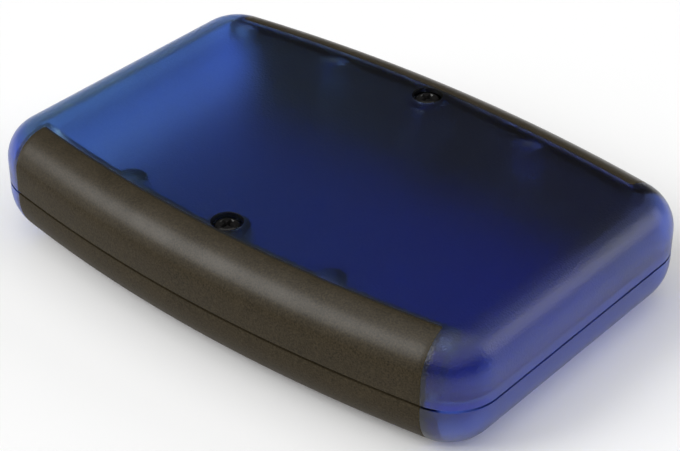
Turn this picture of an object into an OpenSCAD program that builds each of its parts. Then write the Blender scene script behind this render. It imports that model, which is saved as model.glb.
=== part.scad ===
// Handheld enclosure: two translucent shells with soft side grips, held by two screws.
// Millimetres. Origin under the middle, +Z up, +X along the length.
// The front face is down at z = 0 and the rear face, with the screws, is up.

/* [Body] */
// Length between the two straight ends
body_l = 117; // [108:1:140]
// Width at mid length, where the sides are widest
body_w = 79; // [70:1:95]
// Height from the front face to the rear face
body_h = 24; // [22:0.5:34]
// Slope of the long sides' bow, half of the angle that they turn from the middle to a corner
side_slope = 0.08; // [0.05, 0.064, 0.08, 0.1]
// Plan radius of the four corners
corner_r = 10.2; // [10:0.1:13]
// Edge radius round the rear face
rear_edge_r = 7.6; // [6.5:0.1:8.4]
// Edge radius round the front face
front_edge_r = 10; // [8:0.1:10.1]
// Height of the parting line
parting_h = 11.7; // [10.5:0.1:13.5]

/* [Walls] */
// Thickness of the shell walls
wall = 2.2; // [1.8:0.1:2.6]
// Open shadow line between the two rims
seam_gap = 0.5; // [0.2:0.05:0.6]
// Thickness of the locating tongue on the front rim
tongue_t = 0.8; // [0.6:0.1:1]
// Height of the locating tongue above the front rim
tongue_h = 1.6; // [1:0.1:2.5]
// Play between the tongue and its groove, each side
tongue_gap = 0.12; // [0.05:0.01:0.2]

/* [Grips] */
// Thickness of the soft grips
grip_t = 3; // [2:0.1:3.4]
// How far the grips reach in from the side outline
grip_band = 7.3; // [6.4:0.1:8]
// Joint line round each grip
grip_gap = 0.05; // [0.02:0.01:0.12]

/* [Screws] */
// Radius of the screw head
head_r = 2.65; // [2.4:0.05:3]
// Height of the screw head
head_h = 2.3; // [1.8:0.1:2.8]
// Rounding of the screw head's rim
head_round = 1.2; // [0.6:0.1:1.5]
// How far the head lies below the rear face
head_sink = 0.5; // [0.2:0.1:1.5]
// Width of one arm of the cross recess
cross_w = 0.85; // [0.6:0.05:1.1]
// Length across the cross recess
cross_l = 3.3; // [2.6:0.1:3.8]
// Depth of the cross recess
cross_d = 1.4; // [0.8:0.1:1.7]
// Core radius of the screw thread
core_r = 1.2; // [1:0.05:1.4]
// Play of the core in the front pilot hole
pilot_gap = 0.05; // [0.02:0.01:0.1]
// Play of the core in the rear shell
screw_gap = 0.5; // [0.4:0.05:0.8]
// Length of the screw's point
point_l = 2; // [1:0.1:3]
// Distance from the screw's point to the inside of the front wall
point_up = 2.4; // [1.5:0.1:4]
// Play round the head in its counterbore
head_gap = 0.25; // [0.15:0.05:0.6]

/* [Posts] */
// Plastic left between the counterbore and the grip
post_web = 0.4; // [0.3:0.05:1]
// Wall of the rear bosses round the counterbore
boss_wall = 1.3; // [1:0.1:1.8]
// Wall of the front bosses round the pilot hole
pilot_wall = 1.95; // [1.6:0.05:2.6]
// Thickness of the rib between each boss and the side wall
rib_t = 1.6; // [1.2:0.1:2.2]
// Distance between board standoffs along the length
standoff_span = 49; // [40:1:60]
// Outer radius of the board standoffs
standoff_r = 3; // [2.4:0.1:3.4]
// Length of the board standoffs under the rear wall
standoff_h = 6.5; // [4:0.5:9]
// Radius of the pilot holes in the standoffs
standoff_hole_r = 1.1; // [0.8:0.05:1.4]
// Plastic left above each standoff's pilot hole
standoff_floor = 0.8; // [0.5:0.1:2]

/* [Front recess] */
// Depth of the label recess in the front face
recess_d = 0.6; // [0.3:0.1:0.9]
// Distance from the recess to the end of the body
recess_end = 13.5; // [12:0.5:25]
// Distance from the recess to the widest side line
recess_side = 12.5; // [11.5:0.5:20]
// Corner radius of the recess
recess_r = 4; // [2:0.5:8]

/* [Hidden] */
$fn = 96;
bow_fn = 720;
over = 1;
// The corner centres lie on tenths, and so all the arcs' centres and radii are exact decimals
corner_x = round(10 * (body_l / 2 - corner_r)) / 10;
turn_r = body_l / 2 - corner_x;
corner_y = body_w / 2 - turn_r - side_slope * corner_x;
bow_r = turn_r + corner_x * (1 / side_slope + side_slope) / 2;
bow_y = bow_r - body_w / 2;
bow_turn = ceil(2 * atan(side_slope)) + 2;
corner = [corner_x, corner_y];
bow_ray = [corner_x, corner_y + bow_y];
ray_in = 0.04;
ray_out = 0.1;
cell_in = corner - ray_in * bow_ray;
cell_out = corner + ray_out * bow_ray;
ray_skew = (bow_r - turn_r) / bow_ray.y;
rear_z = body_h - rear_edge_r;
rim_z = parting_h + seam_gap;
tongue_in = (wall - tongue_t) / 2;
counterbore_r = head_r + head_gap;
seat_z = body_h - head_sink - head_h;
point_z = wall + point_up;
post_y = body_w / 2 - grip_band - post_web - counterbore_r;
rear_boss_r = counterbore_r + boss_wall;
pilot_r = core_r + pilot_gap;
front_boss_r = pilot_r + pilot_wall;
standoff_z = body_h - wall - standoff_h;

// Half section of the edge at one inset, from the outline at x = outline inwards
module edge_profile(outline, depth, inset) {
    front_x = outline - front_edge_r;
    rear_x = outline - rear_edge_r;
    polygon([
        [outline - depth, inset],
        [front_x, inset],
        [front_x, front_edge_r],
        [outline - inset, front_edge_r],
        [outline - inset, rear_z],
        [rear_x, rear_z],
        [rear_x, body_h - inset],
        [outline - depth, body_h - inset]
    ]);
    translate([front_x, front_edge_r])
        intersection() {
            circle(front_edge_r - inset);
            translate([0, -front_edge_r])
                square(front_edge_r);
        }
    translate([rear_x, rear_z])
        intersection() {
            circle(rear_edge_r - inset);
            square(rear_edge_r);
        }
}

// Turns a profile, drawn with the outline at x = bow_r, along the +Y side's bow
module along_bow() {
    translate([0, -bow_y, 0])
        rotate_extrude(angle = 2 * bow_turn, start = 90 - bow_turn, $fn = bow_fn)
            children();
}

// The plan is cut into cells along the rays where one arc passes into the next
// The +Y bow's cell has both its rays moved out by grow
module bow_cell(grow = 0) {
    out = grow * ray_skew;
    polygon([
        [-cell_in.x - out, cell_in.y], [cell_in.x + out, cell_in.y], [corner_x + out, corner_y],
        [cell_out.x + out, cell_out.y], [-cell_out.x - out, cell_out.y], [-corner_x - out, corner_y]
    ]);
}

module corner_cell() {
    polygon([corner, corner + [2 * turn_r, 0], corner + [2 * turn_r, 2 * turn_r], cell_out]);
}

module core_cell() {
    polygon([
        [cell_in.x, cell_in.y], [corner_x, corner_y],
        [corner_x, -corner_y], [cell_in.x, -cell_in.y],
        [-cell_in.x, -cell_in.y], [-corner_x, -corner_y],
        [-corner_x, corner_y], [-cell_in.x, cell_in.y]
    ]);
}

module both_sides() {
    for (side = [0, 1])
        mirror([0, side, 0])
            children();
}

module both_ends() {
    for (end = [0, 1])
        mirror([end, 0, 0])
            children();
}

// A plan drawn through the whole height and past both faces
module through() {
    translate([0, 0, -over])
        linear_extrude(body_h + 2 * over)
            children();
}

// The whole outer form, set in by inset: bowed sides, corners, straight ends and core
module form(inset) {
    both_sides()
        intersection() {
            along_bow()
                edge_profile(bow_r, body_w / 2, inset);
            through()
                bow_cell();
        }
    both_ends()
        both_sides()
            intersection() {
                translate(corner)
                    rotate_extrude()
                        edge_profile(turn_r, turn_r, inset);
                through()
                    corner_cell();
            }
    both_ends()
        translate([corner_x, corner_y, 0])
            rotate([90, 0, 0])
                linear_extrude(2 * corner_y)
                    edge_profile(turn_r, turn_r, inset);
    translate([0, 0, inset])
        linear_extrude(body_h - 2 * inset)
            core_cell();
}

// Plan of the space between both bows, set in by inset
module bow_lens(inset) {
    intersection_for (side = [-1, 1])
        translate([0, side * bow_y])
            circle(bow_r - inset, $fn = bow_fn);
}

// Plan of the two strips that the grips take up, grown by grow
module grip_zone(grow) {
    difference() {
        both_sides()
            bow_cell(grow);
        bow_lens(grip_band + grow);
    }
}

// Plan of the body at the parting line, set in by inset
module plan(inset) {
    both_sides()
        intersection() {
            translate([0, -bow_y])
                circle(bow_r - inset, $fn = bow_fn);
            bow_cell();
        }
    both_ends()
        both_sides()
            intersection() {
                translate(corner)
                    circle(turn_r - inset);
                corner_cell();
            }
    both_ends()
        translate([corner_x, -corner_y])
            square([turn_r - inset, 2 * corner_y]);
    core_cell();
}

// Plan inside a wall of thickness depth that steps in behind the grips
module bay_plan(depth) {
    difference() {
        plan(depth);
        grip_zone(depth);
    }
    plan(grip_t + depth);
}

// Plan ring along the middle of the wall, widened by play
module tongue_ring(play) {
    difference() {
        bay_plan(tongue_in - play);
        bay_plan(wall - tongue_in + play);
    }
}

// The space inside both shells, which steps in behind the grips
module bay() {
    difference() {
        form(wall);
        through()
            grip_zone(wall);
    }
    form(grip_t + wall);
}

// Cuts that the grips lie in, through both shells
module grip_pockets() {
    both_sides()
        intersection() {
            along_bow()
                difference() {
                    translate([bow_r - grip_band, -over])
                        square([grip_band + over, body_h + 2 * over]);
                    edge_profile(bow_r, body_w / 2, grip_t);
                }
            through()
                bow_cell();
        }
}

// One soft grip along the whole bow of the +Y side, between two heights
module grip(low, high) {
    band = grip_band - grip_gap;
    intersection() {
        along_bow()
            difference() {
                intersection() {
                    edge_profile(bow_r, body_w / 2, 0);
                    translate([bow_r - band, low])
                        square([band, high - low]);
                }
                edge_profile(bow_r, body_w / 2, grip_t - grip_gap);
            }
        through()
            bow_cell(-grip_gap);
    }
}

// The wall of one shell, between two heights
module shell_wall(low, high) {
    difference() {
        intersection() {
            form(0);
            translate([-body_l, -body_w, low])
                cube([2 * body_l, 2 * body_w, high - low]);
        }
        bay();
    }
}

module at_screws() {
    for (side = [-1, 1])
        translate([0, side * post_y, 0])
            children();
}

module at_standoffs() {
    for (end = [-1, 1], side = [-1, 1])
        translate([end * standoff_span / 2, side * post_y, 0])
            children();
}

// Ribs that tie a screw boss to the walls behind the grips
module boss_ribs(low, high) {
    reach = body_w / 2 - grip_t - wall / 2;
    both_sides()
        translate([-rib_t / 2, post_y, low])
            cube([rib_t, reach - post_y, high - low]);
}

module rear_shell() {
    color("#4464b0")
        difference() {
            union() {
                shell_wall(rim_z, body_h);
                at_screws()
                    translate([0, 0, parting_h])
                        cylinder(h = body_h - wall / 2 - parting_h, r = rear_boss_r);
                boss_ribs(rim_z + tongue_h + wall, body_h - grip_t - wall / 2);
                at_standoffs()
                    translate([0, 0, standoff_z])
                        cylinder(h = standoff_h + wall / 2, r = standoff_r);
            }
            grip_pockets();
            translate([0, 0, rim_z - over])
                linear_extrude(parting_h + tongue_h + tongue_gap - rim_z + over)
                    tongue_ring(tongue_gap);
            at_screws() {
                translate([0, 0, seat_z])
                    cylinder(h = body_h, r = counterbore_r);
                cylinder(h = body_h, r = core_r + screw_gap);
            }
            at_standoffs()
                translate([0, 0, standoff_z - over])
                    cylinder(h = standoff_h - standoff_floor + over, r = standoff_hole_r);
        }
}

module front_shell() {
    color("#4464b0")
        difference() {
            union() {
                difference() {
                    shell_wall(0, parting_h + tongue_h);
                    translate([0, 0, parting_h])
                        linear_extrude(body_h)
                            difference() {
                                square([2 * body_l, 2 * body_w], center = true);
                                tongue_ring(0);
                            }
                }
                at_screws()
                    translate([0, 0, wall / 2])
                        cylinder(h = parting_h - wall / 2, r = front_boss_r);
                boss_ribs(grip_t + wall / 2, parting_h - tongue_h);
            }
            grip_pockets();
            at_screws()
                translate([0, 0, point_z - over])
                    cylinder(h = body_h, r = pilot_r);
            translate([0, 0, -over])
                linear_extrude(recess_d + over)
                    label_plan();
        }
}

// Plan of the label recess
module label_plan() {
    half_l = body_l / 2 - recess_end;
    half_w = body_w / 2 - recess_side;
    square([2 * half_l, 2 * (half_w - recess_r)], center = true);
    square([2 * (half_l - recess_r), 2 * half_w], center = true);
    for (x = [-1, 1], y = [-1, 1])
        translate([x * (half_l - recess_r), y * (half_w - recess_r)])
            circle(recess_r);
}

module rear_grip_left() {
    color("#3d3a34")
        grip(rim_z, body_h);
}

module rear_grip_right() {
    color("#3d3a34")
        mirror([0, 1, 0])
            grip(rim_z, body_h);
}

module front_grip_left() {
    color("#3d3a34")
        grip(0, parting_h);
}

module front_grip_right() {
    color("#3d3a34")
        mirror([0, 1, 0])
            grip(0, parting_h);
}

// One self-tapping pan-head screw, with its thread at core size
module screw() {
    difference() {
        union() {
            translate([0, 0, seat_z])
                rotate_extrude() {
                    square([head_r - head_round, head_h]);
                    square([head_r, head_h - head_round]);
                    translate([head_r - head_round, head_h - head_round])
                        intersection() {
                            circle(head_round);
                            square(head_round);
                        }
                }
            translate([0, 0, point_z + point_l])
                cylinder(h = seat_z - point_z - point_l, r = core_r);
            translate([0, 0, point_z])
                cylinder(h = point_l, r1 = core_r / 4, r2 = core_r);
        }
        for (turn = [0, 90])
            rotate(turn)
                translate([-cross_l / 2, -cross_w / 2, seat_z + head_h - cross_d])
                    cube([cross_l, cross_w, cross_d + over]);
    }
}

module screws() {
    color("#1c1c1e")
        at_screws()
            screw();
}

rear_shell();
front_shell();
rear_grip_left();
rear_grip_right();
front_grip_left();
front_grip_right();
screws();
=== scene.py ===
import math
import bpy
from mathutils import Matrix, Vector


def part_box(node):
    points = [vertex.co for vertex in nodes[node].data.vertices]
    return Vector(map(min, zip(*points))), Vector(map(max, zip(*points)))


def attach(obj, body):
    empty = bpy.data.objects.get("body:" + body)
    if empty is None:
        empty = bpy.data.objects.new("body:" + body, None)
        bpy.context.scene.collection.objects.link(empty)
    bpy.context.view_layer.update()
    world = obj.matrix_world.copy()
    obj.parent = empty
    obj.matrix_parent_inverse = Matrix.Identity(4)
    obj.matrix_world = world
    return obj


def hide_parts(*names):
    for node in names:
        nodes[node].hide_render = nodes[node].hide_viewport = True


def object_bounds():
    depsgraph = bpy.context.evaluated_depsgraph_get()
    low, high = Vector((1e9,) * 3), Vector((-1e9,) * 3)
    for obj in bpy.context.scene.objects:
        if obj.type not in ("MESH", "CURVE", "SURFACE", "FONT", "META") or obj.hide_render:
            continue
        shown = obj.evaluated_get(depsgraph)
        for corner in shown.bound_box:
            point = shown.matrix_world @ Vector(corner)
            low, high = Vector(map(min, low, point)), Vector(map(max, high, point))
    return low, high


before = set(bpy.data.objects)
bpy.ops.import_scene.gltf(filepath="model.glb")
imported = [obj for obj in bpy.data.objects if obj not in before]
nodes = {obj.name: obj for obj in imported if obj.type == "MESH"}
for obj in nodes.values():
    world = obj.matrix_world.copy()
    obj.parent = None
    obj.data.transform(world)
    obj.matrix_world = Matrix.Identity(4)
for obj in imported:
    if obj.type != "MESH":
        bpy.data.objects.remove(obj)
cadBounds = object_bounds()
print("frame loaded:", len(nodes), "nodes")

# outer form of the case in metres, which the finishes and the grips follow
caseForm = {
    "halfWidth": cadBounds[1].y, "height": cadBounds[1].z,
    "sideSlope": 0.08,   # tangent of half the angle that a long side turns from its middle to a corner
    "cornerX": 0.0483, "cornerRound": 0.0102, "rearEdge": 0.0076, "frontEdge": 0.010,
    "gripBand": 0.0073, "gripThick": 0.003, "screwY": 0.0289,
}
slope = caseForm["sideSlope"]
bowRadius = caseForm["cornerRound"] + caseForm["cornerX"] * (1 / slope + slope) / 2
bowTurn = 2 * math.atan(slope)


# one socket of a node tree, so that shader maths reads as Python
class Wire:
    def __init__(self, tree, socket=None):
        self.tree = tree
        self.socket = socket

    # any node: its type, its settings first, then the values or links of its sockets
    def make(self, kind, settings=None, inputs=None, out=0):
        node = self.tree.nodes.new(kind)
        for name, value in (settings or {}).items():
            setattr(node, name, value)
        for name, value in (inputs or {}).items():
            if isinstance(value, Wire):
                self.tree.links.new(value.socket, node.inputs[name])
            else:
                node.inputs[name].default_value = value
        return Wire(self.tree, node.outputs[out] if len(node.outputs) else None)

    # another output of the same node
    def also(self, out):
        return Wire(self.tree, self.socket.node.outputs[out])

    def calc(self, operation, first, second):
        return self.make("ShaderNodeMath", {"operation": operation}, {0: first, 1: second})

    def atLeast(self, other):
        return self.calc("MAXIMUM", self, other)

    def atMost(self, other):
        return self.calc("MINIMUM", self, other)

    def clamped(self):
        return self.atLeast(0).atMost(1)

    def __add__(self, other):
        return self.calc("ADD", self, other)

    def __radd__(self, other):
        return self.calc("ADD", other, self)

    def __sub__(self, other):
        return self.calc("SUBTRACT", self, other)

    def __rsub__(self, other):
        return self.calc("SUBTRACT", other, self)

    def __mul__(self, other):
        return self.calc("MULTIPLY", self, other)

    def __rmul__(self, other):
        return self.calc("MULTIPLY", other, self)

    def __pow__(self, other):
        return self.calc("POWER", self, other)

    def __rpow__(self, other):
        return self.calc("POWER", other, self)

    def __gt__(self, other):
        return self.calc("GREATER_THAN", self, other)

    def __lt__(self, other):
        return self.calc("LESS_THAN", self, other)

    def __abs__(self):
        return self.calc("ABSOLUTE", self, 0)


# an empty material and its starting wire
def newFinish(name):
    finish = bpy.data.materials.new(name)
    finish.use_nodes = True
    finish.node_tree.nodes.clear()
    return finish, Wire(finish.node_tree)


def noiseOn(wire, coords, scale, detail=2.0, rough=0.5):
    return wire.make("ShaderNodeTexNoise", {"noise_dimensions": "3D"},
                     {"Vector": coords, "Scale": scale, "Detail": detail, "Roughness": rough})


def blendTones(wire, share, first, second):
    return wire.make("ShaderNodeMix", {"data_type": "RGBA"}, {0: share, 6: first, 7: second}, 2)


# translucent plastic of both shells: satin outside, frosted inner walls, clearer inner panels, with painted
# shade in one corner, in the screw holes and along the grips' bond line
shellLook = {
    "deepBlue": (0.36, 0.58, 0.66, 1), "paleBlue": (0.50, 0.75, 0.80, 1),
    # the far tint is painted shade, deepening the plastic towards one corner
    "wallBlue": (0.12, 0.23, 0.95, 1), "farShadeBlue": (0.30, 0.34, 0.82, 1),
    # painted shade: near black for the screw holes and the grips' bond line
    "shadeBlue": (0.010, 0.010, 0.014, 1),
    "flowScale": 45, "flowDetail": 3.0, "flowShare": 0.4,
    "grainScale": 2400, "grainShare": 0.9, "toneDrop": 0.15,
    "grainDepth": 0.0002, "grainStrength": 0.4,
    "rough": 0.30, "roughSpread": 0.08, "innerRough": 0.5, "panelRough": 0.2,
    "farAlong": 8.5, "farAcross": 8, "farMiddle": 0.5, "farShadeShare": 0.8,   # painted shade: the tint deepens to one corner
    "wallStart": 0.004, "wallReach": 0.003,        # the walls' tint, in from the outline
    "midZ": 0.0123, "panelReach": 0.0093,          # the panels lie further than this from mid height
    "holeRadius": 0.00305, "bondReach": 0.0003,    # painted shade in the screw holes and where the grips are bonded
    "stripReach": 0.0013, "stripRough": 0.4,       # a rougher strip beside the grips
    "skin": 0.001, "edgeRound": 0.00012, "edgeSamples": 6, "refraction": 1.49,
}
# the front shell's tones, deeper than the rear's: painted shade for the lower half of the case
frontShadeTone = {
    "deepBlue": (0.19, 0.28, 0.76, 1), "paleBlue": (0.28, 0.40, 0.93, 1),
    "farShadeBlue": (0.20, 0.28, 0.85, 1),
}


# masks from 0 to 1: the outer skin, the side walls, the two panels, the corner with the painted shade, the
# strip beside the grips, and the painted shade of the screw holes and the grips' bond line
def caseMasks(wire, coords, look, form):
    x = wire.make("ShaderNodeSeparateXYZ", None, {0: coords})
    y, z = x.also(1), x.also(2)
    side = abs(y) + x * x * (1 / (2 * bowRadius))   # the bow is taken out of the long sides
    alongPart = (abs(x) - form["cornerX"]).atLeast(0) ** 2
    acrossPart = (side - (form["halfWidth"] - form["cornerRound"])).atLeast(0) ** 2
    outline = (alongPart + acrossPart) ** 0.5 - form["cornerRound"]   # negative inside the plan
    rearPart = (z - (form["height"] - form["rearEdge"])).atLeast(0) ** 2
    frontPart = (form["frontEdge"] - z).atLeast(0) ** 2
    rear = ((outline + form["rearEdge"]).atLeast(0) ** 2 + rearPart) ** 0.5 - form["rearEdge"]
    front = ((outline + form["frontEdge"]).atLeast(0) ** 2 + frontPart) ** 0.5 - form["frontEdge"]
    hole = look["holeRadius"] ** 2 - x * x - (abs(y) - form["screwY"]) ** 2
    nearBond = abs(side - (form["halfWidth"] - form["gripBand"]))
    toEnd = form["cornerX"] + look["bondReach"] - abs(x)
    bond = (look["bondReach"] - nearBond).atMost(toEnd)
    strip = (look["stripReach"] - nearBond).atMost(toEnd)
    return {"outer": rear.atLeast(front) > -look["skin"],
            "wall": ((outline + look["wallStart"]) * (1 / look["wallReach"])).clamped(),
            "panel": abs(z - look["midZ"]) > look["panelReach"],
            "far": (x * look["farAlong"] + y * look["farAcross"] + look["farMiddle"]).clamped(),
            "strip": (strip * (1 / look["stripReach"])).atLeast(0),
            "shade": hole.atLeast(bond) > 0}


def makeShellPlastic(name, look):
    finish, wire = newFinish(name)
    coords = wire.make("ShaderNodeTexCoord", out="Object")
    flow = noiseOn(wire, coords, look["flowScale"], look["flowDetail"])
    grain = noiseOn(wire, coords, look["grainScale"])
    mask = caseMasks(wire, coords, look, caseForm)
    share = flow * look["flowShare"] + grain * look["grainShare"] - look["toneDrop"]
    tone = blendTones(wire, share, look["deepBlue"], look["paleBlue"])
    # painted shade: the tint deepens towards one corner
    tone = blendTones(wire, mask["far"] * look["farShadeShare"], tone, look["farShadeBlue"])
    tone = blendTones(wire, mask["wall"], tone, look["wallBlue"])
    # painted shade in the screw holes and along the grips' bond line
    tone = blendTones(wire, mask["shade"], tone, look["shadeBlue"])
    inside = look["innerRough"] - mask["panel"] * (look["innerRough"] - look["panelRough"])
    satin = look["rough"] + look["roughSpread"] * (grain - 0.5) + look["stripRough"] * mask["strip"]
    rough = inside + mask["outer"] * (satin - inside)
    edges = wire.make("ShaderNodeBevel", {"samples": look["edgeSamples"]}, {"Radius": look["edgeRound"]})
    bump = wire.make("ShaderNodeBump", None, {
        "Strength": look["grainStrength"], "Distance": look["grainDepth"],
        "Height": grain * mask["outer"], "Normal": edges})
    shade = wire.make("ShaderNodeBsdfPrincipled", None, {
        "Base Color": tone, "Roughness": rough, "Normal": bump,
        "Transmission Weight": 1.0, "IOR": look["refraction"]})
    wire.make("ShaderNodeOutputMaterial", None, {"Surface": shade})
    return finish


# fine matt texture of the moulded rubber, polished by hands on its upper edge
gripLook = {
    "dark": (0.012, 0.009, 0.004, 1), "light": (0.056, 0.043, 0.024, 1),
    "patchScale": 130, "patchDetail": 4.0, "patchRough": 0.6, "patchShare": 0.4,
    "grainScale": 3000, "grainShare": 1.6, "toneDrop": 0.5, "pitScale": 1900,
    "grainHeight": 0.6, "pitHeight": 0.4, "grainDepth": 0.00008, "grainStrength": 0.5,
    "rough": 0.5, "roughSpread": 0.16, "gloss": 0.08,
    "polishStart": 0.0184, "polishReach": 0.0022, "polishLeast": 0.6, "polishSpread": 0.8,
    "polishRough": 0.36, "polishRefraction": 1.33,
}


def makeGripRubber(look):
    finish, wire = newFinish("mattRubber")
    coords = wire.make("ShaderNodeTexCoord", out="Object")
    patch = noiseOn(wire, coords, look["patchScale"], look["patchDetail"], look["patchRough"])
    grain = noiseOn(wire, coords, look["grainScale"])
    pits = wire.make("ShaderNodeTexVoronoi", {"feature": "F1"}, {"Vector": coords, "Scale": look["pitScale"]})
    share = patch * look["patchShare"] + grain * look["grainShare"] - look["toneDrop"]
    tone = blendTones(wire, share, look["dark"], look["light"])
    rough = look["rough"] + look["roughSpread"] * (patch - 0.5)
    height = wire.make("ShaderNodeSeparateXYZ", None, {0: coords}, 2)
    polish = ((height - look["polishStart"]) * (1 / look["polishReach"])).clamped()
    bump = wire.make("ShaderNodeBump", None, {
        "Strength": look["grainStrength"], "Distance": look["grainDepth"],
        "Height": grain * look["grainHeight"] + pits * look["pitHeight"]})
    shade = wire.make("ShaderNodeBsdfPrincipled", None, {
        "Base Color": tone, "Roughness": rough, "Normal": bump, "Specular IOR Level": look["gloss"],
        "Coat Weight": polish * (look["polishLeast"] + look["polishSpread"] * patch),
        "Coat Roughness": look["polishRough"], "Coat IOR": look["polishRefraction"]})
    wire.make("ShaderNodeOutputMaterial", None, {"Surface": shade})
    return finish


# black oxide on the screws
screwLook = {
    "black": (0.004, 0.004, 0.004, 1), "worn": (0.013, 0.012, 0.012, 1),
    "patchScale": 900, "patchDetail": 3.0, "rough": 0.17, "roughSpread": 0.14, "gloss": 0.3,
    "grainScale": 6000, "grainDepth": 0.00002, "grainStrength": 0.4,
}


def makeScrewBlack(look):
    finish, wire = newFinish("blackOxide")
    coords = wire.make("ShaderNodeTexCoord", out="Object")
    patch = noiseOn(wire, coords, look["patchScale"], look["patchDetail"])
    grain = noiseOn(wire, coords, look["grainScale"])
    tone = blendTones(wire, patch, look["black"], look["worn"])
    rough = look["rough"] + look["roughSpread"] * (patch - 0.5)
    bump = wire.make("ShaderNodeBump", None, {
        "Strength": look["grainStrength"], "Distance": look["grainDepth"], "Height": grain})
    shade = wire.make("ShaderNodeBsdfPrincipled", None, {
        "Base Color": tone, "Roughness": rough, "Normal": bump, "Specular IOR Level": look["gloss"]})
    wire.make("ShaderNodeOutputMaterial", None, {"Surface": shade})
    return finish


rearPlastic = makeShellPlastic("satinBlueRear", shellLook)
# the front shell takes deeper tones, painted shade for the lower half of the case
frontPlastic = makeShellPlastic("satinBlueFront", {**shellLook, **frontShadeTone})
gripRubber = makeGripRubber(gripLook)
screwBlack = makeScrewBlack(screwLook)
nodes["rear_shell"].material_slots[0].material = rearPlastic
nodes["front_shell"].material_slots[0].material = frontPlastic
print("finishes made")

touch = 1e-6   # places this close count as the same, in metres


def deselectAll():
    bpy.ops.object.select_all(action="DESELECT")


def activeObject():
    return bpy.context.view_layer.objects.active


# selects the vertices of the mesh in edit mode that pass a test on their place
def selectVerts(test):
    piece = activeObject()
    bpy.ops.mesh.select_mode(type="VERT")
    bpy.ops.mesh.select_all(action="DESELECT")
    bpy.ops.object.mode_set(mode="OBJECT")
    for vert in piece.data.vertices:
        vert.select = bool(test(vert.co))
    bpy.ops.object.mode_set(mode="EDIT")


def useModifier(piece, kind, **settings):
    modifier = piece.modifiers.new(kind.title(), kind)
    for name, value in settings.items():
        setattr(modifier, name, value)
    bpy.ops.object.modifier_apply(modifier=modifier.name)


def applyPlace():
    bpy.ops.object.transform_apply(location=True, rotation=True, scale=True)


# rounds the sharp edges and shades the rest smooth
def softenEdges(piece, form):
    useModifier(piece, "BEVEL", width=form["edgeRound"], segments=form["edgeSteps"],
                limit_method="ANGLE", angle_limit=math.radians(form["sharpAngle"]))
    bpy.ops.object.shade_smooth_by_angle(angle=math.radians(form["smoothAngle"]))


def mirroredCopy(piece):
    deselectAll()
    piece.select_set(True)
    bpy.context.view_layer.objects.active = piece
    bpy.ops.object.duplicate(linked=False)
    other = activeObject()
    other.scale = (1, -1, 1)
    applyPlace()
    bpy.ops.object.mode_set(mode="EDIT")
    bpy.ops.mesh.select_all(action="SELECT")
    bpy.ops.mesh.normals_make_consistent(inside=False)
    bpy.ops.object.mode_set(mode="OBJECT")
    return other


def finishPiece(piece, name, finish, slotName, *stoodFor):
    piece.name = name
    piece.data.name = name
    piece.data.materials.clear()
    piece.data.materials.append(finish)
    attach(piece, "root")
    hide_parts(*stoodFor)


# soft grips: a curved band that is turned along the bow of the long side
gripForm = {
    "overlap": 0.00002,   # how far the grips reach into the plastic that they are bonded to
    "arcPoints": 128, "bowSteps": 96, "weld": 1e-7,
    "edgeRound": 0.00003, "edgeSteps": 2, "sharpAngle": 40, "smoothAngle": 35,   # angles in degrees
}


def makeGrip(form, edge, arcZ, rimZ):
    deselectAll()
    band = caseForm["gripBand"] + form["overlap"]
    thick = caseForm["gripThick"] + form["overlap"]
    turn = bowTurn + form["overlap"] / bowRadius
    arcY = bowRadius - edge           # the bow's axis is at the origin until the end
    side = 1 if arcZ > rimZ else -1   # the rear arc lies above its rim, the front one below
    bpy.ops.mesh.primitive_circle_add(
        vertices=form["arcPoints"], radius=edge, fill_type="NOTHING",
        location=(0, 0, 0), rotation=(0, math.pi / 2, 0), enter_editmode=False)
    piece = activeObject()
    piece.location = (0, arcY, arcZ)
    applyPlace()
    bpy.ops.object.mode_set(mode="EDIT")
    selectVerts(lambda co: co.y < arcY - touch or side * (co.z - arcZ) < -touch)
    bpy.ops.mesh.delete(type="VERT")
    # the inner face follows the outer one at the grip's thickness
    bpy.ops.mesh.select_all(action="SELECT")
    bpy.ops.mesh.duplicate()
    shrink = (edge - thick) / edge
    bpy.ops.transform.resize(value=(1, shrink, shrink), center_override=(0, arcY, arcZ))
    selectVerts(lambda co: abs(co.z - arcZ) < touch)
    bpy.ops.mesh.extrude_region_move(TRANSFORM_OT_translate={"value": (0, 0, rimZ - arcZ)})
    bpy.ops.mesh.select_all(action="SELECT")
    bpy.ops.mesh.bisect(plane_co=(0, bowRadius - band, 0), plane_no=(0, 1, 0), clear_inner=True)
    bpy.ops.mesh.select_all(action="SELECT")
    bpy.ops.mesh.bridge_edge_loops()
    # the section is turned back by half the bow, then spun along all of it, and spin runs clockwise
    bpy.ops.object.mode_set(mode="OBJECT")
    piece.rotation_euler = (0, 0, turn)
    applyPlace()
    bpy.ops.object.mode_set(mode="EDIT")
    bpy.ops.mesh.select_all(action="SELECT")
    bpy.ops.mesh.spin(steps=form["bowSteps"], dupli=False, angle=2 * turn, center=(0, 0, 0), axis=(0, 0, 1))
    bpy.ops.mesh.select_all(action="SELECT")
    bpy.ops.mesh.remove_doubles(threshold=form["weld"])
    bpy.ops.mesh.normals_make_consistent(inside=False)
    bpy.ops.object.mode_set(mode="OBJECT")
    piece.location = (0, caseForm["halfWidth"] - bowRadius, 0)
    applyPlace()
    softenEdges(piece, form)
    return piece


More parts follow.
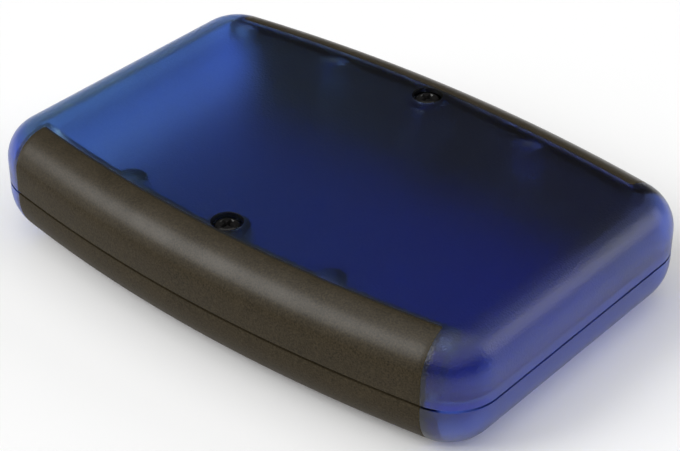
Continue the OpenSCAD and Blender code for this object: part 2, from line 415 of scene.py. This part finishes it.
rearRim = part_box("rear_grip_left")[0].z
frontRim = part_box("front_grip_left")[1].z
rearGrip = makeGrip(gripForm, caseForm["rearEdge"], caseForm["height"] - caseForm["rearEdge"], rearRim)
frontGrip = makeGrip(gripForm, caseForm["frontEdge"], caseForm["frontEdge"], frontRim)
rearOther = mirroredCopy(rearGrip)
frontOther = mirroredCopy(frontGrip)
finishPiece(rearGrip, "softGripRearLeft", gripRubber, "grip", "rear_grip_left")
finishPiece(rearOther, "softGripRearRight", gripRubber, "grip", "rear_grip_right")
finishPiece(frontGrip, "softGripFrontLeft", gripRubber, "grip", "front_grip_left")
finishPiece(frontOther, "softGripFrontRight", gripRubber, "grip", "front_grip_right")
print("grips made")


# pan-head screws with a tapered cross recess, a plain shank and a blunt point
screwForm = {
    "topZ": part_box("screws")[1].z, "pointZ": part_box("screws")[0].z,
    "headRadius": 0.00265, "headHeight": 0.0023, "headRound": 0.0012, "headSides": 64, "roundSteps": 8,
    "crossLength": 0.0033, "crossWidth": 0.00085, "crossDepth": 0.0014, "crossTaper": 0.55,
    "cutOver": 0.0004,    # how far the recess's cutter stands out above the head
    "coreRadius": 0.0012, "pointLength": 0.002, "pointShare": 0.25,
    "edgeRound": 0.00006, "edgeSteps": 2, "sharpAngle": 40, "smoothAngle": 35,
}


# takes one arm of the cross recess out of the head
def cutArm(head, form, turn):
    middle = form["topZ"] - form["crossDepth"] / 2
    deselectAll()
    bpy.ops.mesh.primitive_cube_add(size=1, location=(0, 0, middle + form["cutOver"] / 2))
    arm = activeObject()
    arm.scale = (form["crossLength"], form["crossWidth"], form["crossDepth"] + form["cutOver"])
    arm.rotation_euler = (0, 0, turn)
    applyPlace()
    bpy.ops.object.mode_set(mode="EDIT")
    selectVerts(lambda co: co.z < middle)
    taper = form["crossTaper"]
    bpy.ops.transform.resize(value=(taper, taper, 1), center_override=(0, 0, middle))
    bpy.ops.object.mode_set(mode="OBJECT")
    deselectAll()
    head.select_set(True)
    bpy.context.view_layer.objects.active = head
    useModifier(head, "BOOLEAN", operation="DIFFERENCE", solver="EXACT", object=arm)
    bpy.data.objects.remove(arm)


def makeScrew(form):
    deselectAll()
    seatZ = form["topZ"] - form["headHeight"]
    bpy.ops.mesh.primitive_cylinder_add(
        vertices=form["headSides"], radius=form["headRadius"], depth=form["headHeight"],
        location=(0, 0, form["topZ"] - form["headHeight"] / 2))
    head = activeObject()
    applyPlace()
    bpy.ops.object.mode_set(mode="EDIT")
    selectVerts(lambda co: co.z > form["topZ"] - touch)
    bpy.ops.mesh.bevel(offset=form["headRound"], segments=form["roundSteps"], affect="EDGES")
    # the shank and its point grow out of the underside
    selectVerts(lambda co: co.z < seatZ + touch)
    bpy.ops.mesh.select_mode(type="FACE")
    bpy.ops.mesh.inset(thickness=form["headRadius"] - form["coreRadius"])
    shank = form["pointZ"] + form["pointLength"] - seatZ
    bpy.ops.mesh.extrude_region_move(TRANSFORM_OT_translate={"value": (0, 0, shank)})
    bpy.ops.mesh.extrude_region_move(TRANSFORM_OT_translate={"value": (0, 0, -form["pointLength"])})
    narrow = form["pointShare"]
    bpy.ops.transform.resize(value=(narrow, narrow, 1), center_override=(0, 0, form["pointZ"]))
    bpy.ops.object.mode_set(mode="OBJECT")
    for turn in (0, math.pi / 2):
        cutArm(head, form, turn)
    softenEdges(head, form)
    return head


leftScrew = makeScrew(screwForm)
leftScrew.location = (0, caseForm["screwY"], 0)
applyPlace()
rightScrew = mirroredCopy(leftScrew)
finishPiece(leftScrew, "screwLeft", screwBlack, "screw", "screws")
finishPiece(rightScrew, "screwRight", screwBlack, "screw", "screws")
print("screws made")


# white table top, a softbox on each side of the camera, a low card on the right, a wide fill from above
stageForm = {
    "floorSize": 8, "floorZ": -0.0001, "floorTone": (0.99, 0.99, 0.99, 1), "floorRough": 0.9,
    "airTone": (1.0, 0.99, 0.97, 1), "airStrength": 0.045, "lampHeight": 1,
    # name: round from +X, up from the table, spread (degrees), strength
    "lamps": {"leftSoftbox": (231, 34, 40, 1.9), "rightSoftbox": (50, 26, 30, 0.62),
              "rightCard": (47, 4, 24, 0.16), "topFill": (-49, 75, 94, 1.75)},
    "cameraPlace": (0.207921, -0.240608, 0.2278), "cameraTurn": (0.965649, 0.000403, 0.707679),
    "lens": 105.867, "sensor": 36, "clipStart": 0.01,
}


def makeFloor(form):
    deselectAll()
    bpy.ops.mesh.primitive_plane_add(size=form["floorSize"], location=(0, 0, form["floorZ"]))
    floor = activeObject()
    floor.name = "tableTop"
    finish, wire = newFinish("whiteTable")
    shade = wire.make("ShaderNodeBsdfPrincipled", None, {
        "Base Color": form["floorTone"], "Roughness": form["floorRough"], "Specular IOR Level": 0.0})
    wire.make("ShaderNodeOutputMaterial", None, {"Surface": shade})
    floor.data.materials.append(finish)


def makeLight(form):
    world = bpy.data.worlds.new("studioAir")
    world.use_nodes = True
    world.node_tree.nodes.clear()
    wire = Wire(world.node_tree)
    air = wire.make("ShaderNodeBackground", None, {"Color": form["airTone"], "Strength": form["airStrength"]})
    wire.make("ShaderNodeOutputWorld", None, {"Surface": air})
    bpy.context.scene.world = world
    for name, (around, up, spread, strength) in form["lamps"].items():
        lamp = bpy.data.lights.new(name, "SUN")
        lamp.energy = strength
        lamp.angle = math.radians(spread)
        holder = bpy.data.objects.new(name, lamp)
        holder.rotation_euler = (math.radians(90 - up), 0, math.radians(around + 90))
        holder.location = (0, 0, form["lampHeight"])
        bpy.context.scene.collection.objects.link(holder)


def makeCamera(form):
    view = bpy.data.cameras.new("photoView")
    view.lens = form["lens"]
    view.sensor_width = form["sensor"]
    view.clip_start = form["clipStart"]
    holder = bpy.data.objects.new("photoView", view)
    holder.location = form["cameraPlace"]
    holder.rotation_euler = form["cameraTurn"]
    bpy.context.scene.collection.objects.link(holder)
    bpy.context.scene.camera = holder


makeFloor(stageForm)
makeLight(stageForm)
makeCamera(stageForm)
bpy.context.scene.view_settings.view_transform = "Standard"
print("stage set")
